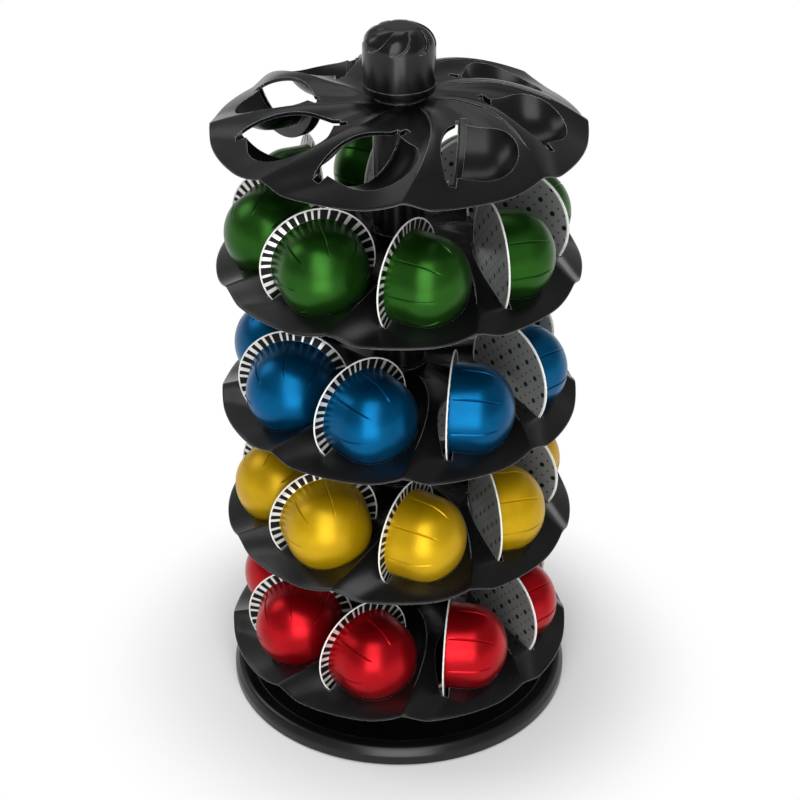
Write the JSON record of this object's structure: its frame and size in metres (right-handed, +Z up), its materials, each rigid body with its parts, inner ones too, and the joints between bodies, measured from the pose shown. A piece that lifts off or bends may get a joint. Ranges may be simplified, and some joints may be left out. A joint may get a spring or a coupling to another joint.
{
  "type": "coffee capsule dispenser",
  "caption": "Rotating stand for coffee capsules: trays of angled pockets stacked on a column that turns on a ball bearing in a round dished base, with a domed knob on top.",
  "frame": {"origin": "on the turning axis, at the height of the surface that the feet stand on", "axes": "+Z up along the turning axis; -Y towards the side that the picture shows"},
  "size_m": [0.192, 0.192, 0.393],
  "materials": {
    "tray_plastic": "black moulded plastic, satin",
    "column_plastic": "black moulded plastic, satin",
    "base_plastic": "black moulded plastic, semi-gloss",
    "knob_plastic": "black moulded plastic, glossy",
    "nylon": "natural nylon",
    "steel": "plain steel",
    "brass": "turned brass",
    "rubber": "black rubber",
    "capsule_red": "red anodised aluminium, satin",
    "capsule_yellow": "yellow anodised aluminium, satin",
    "capsule_blue": "blue anodised aluminium, satin",
    "capsule_green": "green anodised aluminium, satin"
  },
  "bodies": {
    "base": {"base_dish": "base_plastic", "bearing_lower_race": "nylon", "rubber_foot_1": "rubber", "rubber_foot_2": "rubber", "rubber_foot_3": "rubber", "rubber_foot_4": "rubber"},
    "ball_ring": {"bearing_cage": "nylon", "bearing_ball_1": "steel", "bearing_ball_2": "steel", "bearing_ball_3": "steel", "bearing_ball_4": "steel", "bearing_ball_5": "steel", "bearing_ball_6": "steel"},
    "carousel": {"turntable_plate": "column_plastic", "column_tube_1": "column_plastic", "column_tube_2": "column_plastic", "column_tube_3": "column_plastic", "column_tube_4": "column_plastic", "column_tube_5": "column_plastic", "tray_1": "tray_plastic", "tray_2": "tray_plastic", "tray_3": "tray_plastic", "tray_4": "tray_plastic", "tray_5": "tray_plastic", "tie_rod": "steel", "tie_rod_nut": "steel", "knob_insert": "brass", "knob": "knob_plastic"},
    "capsule_red_1": {"capsule_red_1": "capsule_red"},
    "capsule_red_2": {"capsule_red_2": "capsule_red"},
    "capsule_red_3": {"capsule_red_3": "capsule_red"},
    "capsule_red_4": {"capsule_red_4": "capsule_red"},
    "capsule_red_5": {"capsule_red_5": "capsule_red"},
    "capsule_red_6": {"capsule_red_6": "capsule_red"},
    "capsule_red_7": {"capsule_red_7": "capsule_red"},
    "capsule_red_8": {"capsule_red_8": "capsule_red"},
    "capsule_yellow_1": {"capsule_yellow_1": "capsule_yellow"},
    "capsule_yellow_2": {"capsule_yellow_2": "capsule_yellow"},
    "capsule_yellow_3": {"capsule_yellow_3": "capsule_yellow"},
    "capsule_yellow_4": {"capsule_yellow_4": "capsule_yellow"},
    "capsule_yellow_5": {"capsule_yellow_5": "capsule_yellow"},
    "capsule_yellow_6": {"capsule_yellow_6": "capsule_yellow"},
    "capsule_yellow_7": {"capsule_yellow_7": "capsule_yellow"},
    "capsule_yellow_8": {"capsule_yellow_8": "capsule_yellow"},
    "capsule_blue_1": {"capsule_blue_1": "capsule_blue"},
    "capsule_blue_2": {"capsule_blue_2": "capsule_blue"},
    "capsule_blue_3": {"capsule_blue_3": "capsule_blue"},
    "capsule_blue_4": {"capsule_blue_4": "capsule_blue"},
    "capsule_blue_5": {"capsule_blue_5": "capsule_blue"},
    "capsule_blue_6": {"capsule_blue_6": "capsule_blue"},
    "capsule_blue_7": {"capsule_blue_7": "capsule_blue"},
    "capsule_blue_8": {"capsule_blue_8": "capsule_blue"},
    "capsule_green_1": {"capsule_green_1": "capsule_green"},
    "capsule_green_2": {"capsule_green_2": "capsule_green"},
    "capsule_green_3": {"capsule_green_3": "capsule_green"},
    "capsule_green_4": {"capsule_green_4": "capsule_green"},
    "capsule_green_5": {"capsule_green_5": "capsule_green"},
    "capsule_green_6": {"capsule_green_6": "capsule_green"},
    "capsule_green_7": {"capsule_green_7": "capsule_green"},
    "capsule_green_8": {"capsule_green_8": "capsule_green"}
  },
  "joints": [
    {"name": "carousel_spin", "type": "hinge", "parent": "base", "child": "carousel", "pos_m": [0, 0, 0.02], "axis": [0, 0, 1], "continuous": true},
    {"name": "ball_ring_spin", "type": "hinge", "parent": "base", "child": "ball_ring", "pos_m": [0, 0, 0.02], "axis": [0, 0, 1], "continuous": true},
    {"name": "capsule_red_1_roll_out", "type": "hinge", "parent": "carousel", "child": "capsule_red_1", "pos_m": [0.02244, -0.08443, 0.0412], "axis": [0.991, -0.134, 0], "range_deg": [0, 120]},
    {"name": "capsule_red_2_roll_out", "type": "hinge", "parent": "carousel", "child": "capsule_red_2", "pos_m": [0.07557, -0.04383, 0.0412], "axis": [0.7955, 0.606, 0], "range_deg": [0, 120]},
    {"name": "capsule_red_3_roll_out", "type": "hinge", "parent": "carousel", "child": "capsule_red_3", "pos_m": [0.08443, 0.02244, 0.0412], "axis": [0.134, 0.991, 0], "range_deg": [0, 120]},
    {"name": "capsule_red_4_roll_out", "type": "hinge", "parent": "carousel", "child": "capsule_red_4", "pos_m": [0.04383, 0.07557, 0.0412], "axis": [-0.606, 0.7955, 0], "range_deg": [0, 120]},
    {"name": "capsule_red_5_roll_out", "type": "hinge", "parent": "carousel", "child": "capsule_red_5", "pos_m": [-0.02244, 0.08443, 0.0412], "axis": [-0.991, 0.134, 0], "range_deg": [0, 120]},
    {"name": "capsule_red_6_roll_out", "type": "hinge", "parent": "carousel", "child": "capsule_red_6", "pos_m": [-0.07557, 0.04383, 0.0412], "axis": [-0.7955, -0.606, 0], "range_deg": [0, 120]},
    {"name": "capsule_red_7_roll_out", "type": "hinge", "parent": "carousel", "child": "capsule_red_7", "pos_m": [-0.08443, -0.02244, 0.0412], "axis": [-0.134, -0.991, 0], "range_deg": [0, 120]},
    {"name": "capsule_red_8_roll_out", "type": "hinge", "parent": "carousel", "child": "capsule_red_8", "pos_m": [-0.04383, -0.07557, 0.0412], "axis": [0.606, -0.7955, 0], "range_deg": [0, 120]},
    {"name": "capsule_yellow_1_roll_out", "type": "hinge", "parent": "carousel", "child": "capsule_yellow_1", "pos_m": [0.05304, -0.06942, 0.1205], "axis": [0.9668, 0.2554, 0], "range_deg": [0, 120]},
    {"name": "capsule_yellow_2_roll_out", "type": "hinge", "parent": "carousel", "child": "capsule_yellow_2", "pos_m": [0.08659, -0.01158, 0.1205], "axis": [0.503, 0.8643, 0], "range_deg": [0, 120]},
    {"name": "capsule_yellow_3_roll_out", "type": "hinge", "parent": "carousel", "child": "capsule_yellow_3", "pos_m": [0.06942, 0.05304, 0.1205], "axis": [-0.2554, 0.9668, 0], "range_deg": [0, 120]},
    {"name": "capsule_yellow_4_roll_out", "type": "hinge", "parent": "carousel", "child": "capsule_yellow_4", "pos_m": [0.01158, 0.08659, 0.1205], "axis": [-0.8643, 0.503, 0], "range_deg": [0, 120]},
    {"name": "capsule_yellow_5_roll_out", "type": "hinge", "parent": "carousel", "child": "capsule_yellow_5", "pos_m": [-0.05304, 0.06942, 0.1205], "axis": [-0.9668, -0.2554, 0], "range_deg": [0, 120]},
    {"name": "capsule_yellow_6_roll_out", "type": "hinge", "parent": "carousel", "child": "capsule_yellow_6", "pos_m": [-0.08659, 0.01158, 0.1205], "axis": [-0.503, -0.8643, 0], "range_deg": [0, 120]},
    {"name": "capsule_yellow_7_roll_out", "type": "hinge", "parent": "carousel", "child": "capsule_yellow_7", "pos_m": [-0.06942, -0.05304, 0.1205], "axis": [0.2554, -0.9668, 0], "range_deg": [0, 120]},
    {"name": "capsule_yellow_8_roll_out", "type": "hinge", "parent": "carousel", "child": "capsule_yellow_8", "pos_m": [-0.01158, -0.08659, 0.1205], "axis": [0.8643, -0.503, 0], "range_deg": [0, 120]},
    {"name": "capsule_blue_1_roll_out", "type": "hinge", "parent": "carousel", "child": "capsule_blue_1", "pos_m": [0.02244, -0.08443, 0.1942], "axis": [0.991, -0.134, 0], "range_deg": [0, 120]},
    {"name": "capsule_blue_2_roll_out", "type": "hinge", "parent": "carousel", "child": "capsule_blue_2", "pos_m": [0.07557, -0.04383, 0.1942], "axis": [0.7955, 0.606, 0], "range_deg": [0, 120]},
    {"name": "capsule_blue_3_roll_out", "type": "hinge", "parent": "carousel", "child": "capsule_blue_3", "pos_m": [0.08443, 0.02244, 0.1942], "axis": [0.134, 0.991, 0], "range_deg": [0, 120]},
    {"name": "capsule_blue_4_roll_out", "type": "hinge", "parent": "carousel", "child": "capsule_blue_4", "pos_m": [0.04383, 0.07557, 0.1942], "axis": [-0.606, 0.7955, 0], "range_deg": [0, 120]},
    {"name": "capsule_blue_5_roll_out", "type": "hinge", "parent": "carousel", "child": "capsule_blue_5", "pos_m": [-0.02244, 0.08443, 0.1942], "axis": [-0.991, 0.134, 0], "range_deg": [0, 120]},
    {"name": "capsule_blue_6_roll_out", "type": "hinge", "parent": "carousel", "child": "capsule_blue_6", "pos_m": [-0.07557, 0.04383, 0.1942], "axis": [-0.7955, -0.606, 0], "range_deg": [0, 120]},
    {"name": "capsule_blue_7_roll_out", "type": "hinge", "parent": "carousel", "child": "capsule_blue_7", "pos_m": [-0.08443, -0.02244, 0.1942], "axis": [-0.134, -0.991, 0], "range_deg": [0, 120]},
    {"name": "capsule_blue_8_roll_out", "type": "hinge", "parent": "carousel", "child": "capsule_blue_8", "pos_m": [-0.04383, -0.07557, 0.1942], "axis": [0.606, -0.7955, 0], "range_deg": [0, 120]},
    {"name": "capsule_green_1_roll_out", "type": "hinge", "parent": "carousel", "child": "capsule_green_1", "pos_m": [0.05304, -0.06942, 0.2735], "axis": [0.9668, 0.2554, 0], "range_deg": [0, 120]},
    {"name": "capsule_green_2_roll_out", "type": "hinge", "parent": "carousel", "child": "capsule_green_2", "pos_m": [0.08659, -0.01158, 0.2735], "axis": [0.503, 0.8643, 0], "range_deg": [0, 120]},
    {"name": "capsule_green_3_roll_out", "type": "hinge", "parent": "carousel", "child": "capsule_green_3", "pos_m": [0.06942, 0.05304, 0.2735], "axis": [-0.2554, 0.9668, 0], "range_deg": [0, 120]},
    {"name": "capsule_green_4_roll_out", "type": "hinge", "parent": "carousel", "child": "capsule_green_4", "pos_m": [0.01158, 0.08659, 0.2735], "axis": [-0.8643, 0.503, 0], "range_deg": [0, 120]},
    {"name": "capsule_green_5_roll_out", "type": "hinge", "parent": "carousel", "child": "capsule_green_5", "pos_m": [-0.05304, 0.06942, 0.2735], "axis": [-0.9668, -0.2554, 0], "range_deg": [0, 120]},
    {"name": "capsule_green_6_roll_out", "type": "hinge", "parent": "carousel", "child": "capsule_green_6", "pos_m": [-0.08659, 0.01158, 0.2735], "axis": [-0.503, -0.8643, 0], "range_deg": [0, 120]},
    {"name": "capsule_green_7_roll_out", "type": "hinge", "parent": "carousel", "child": "capsule_green_7", "pos_m": [-0.06942, -0.05304, 0.2735], "axis": [0.2554, -0.9668, 0], "range_deg": [0, 120]},
    {"name": "capsule_green_8_roll_out", "type": "hinge", "parent": "carousel", "child": "capsule_green_8", "pos_m": [-0.01158, -0.08659, 0.2735], "axis": [0.8643, -0.503, 0], "range_deg": [0, 120]}
  ],
  "couplings": [
    {"joint": "ball_ring_spin", "follows": "carousel_spin", "ratio": 0.5}
  ]
}
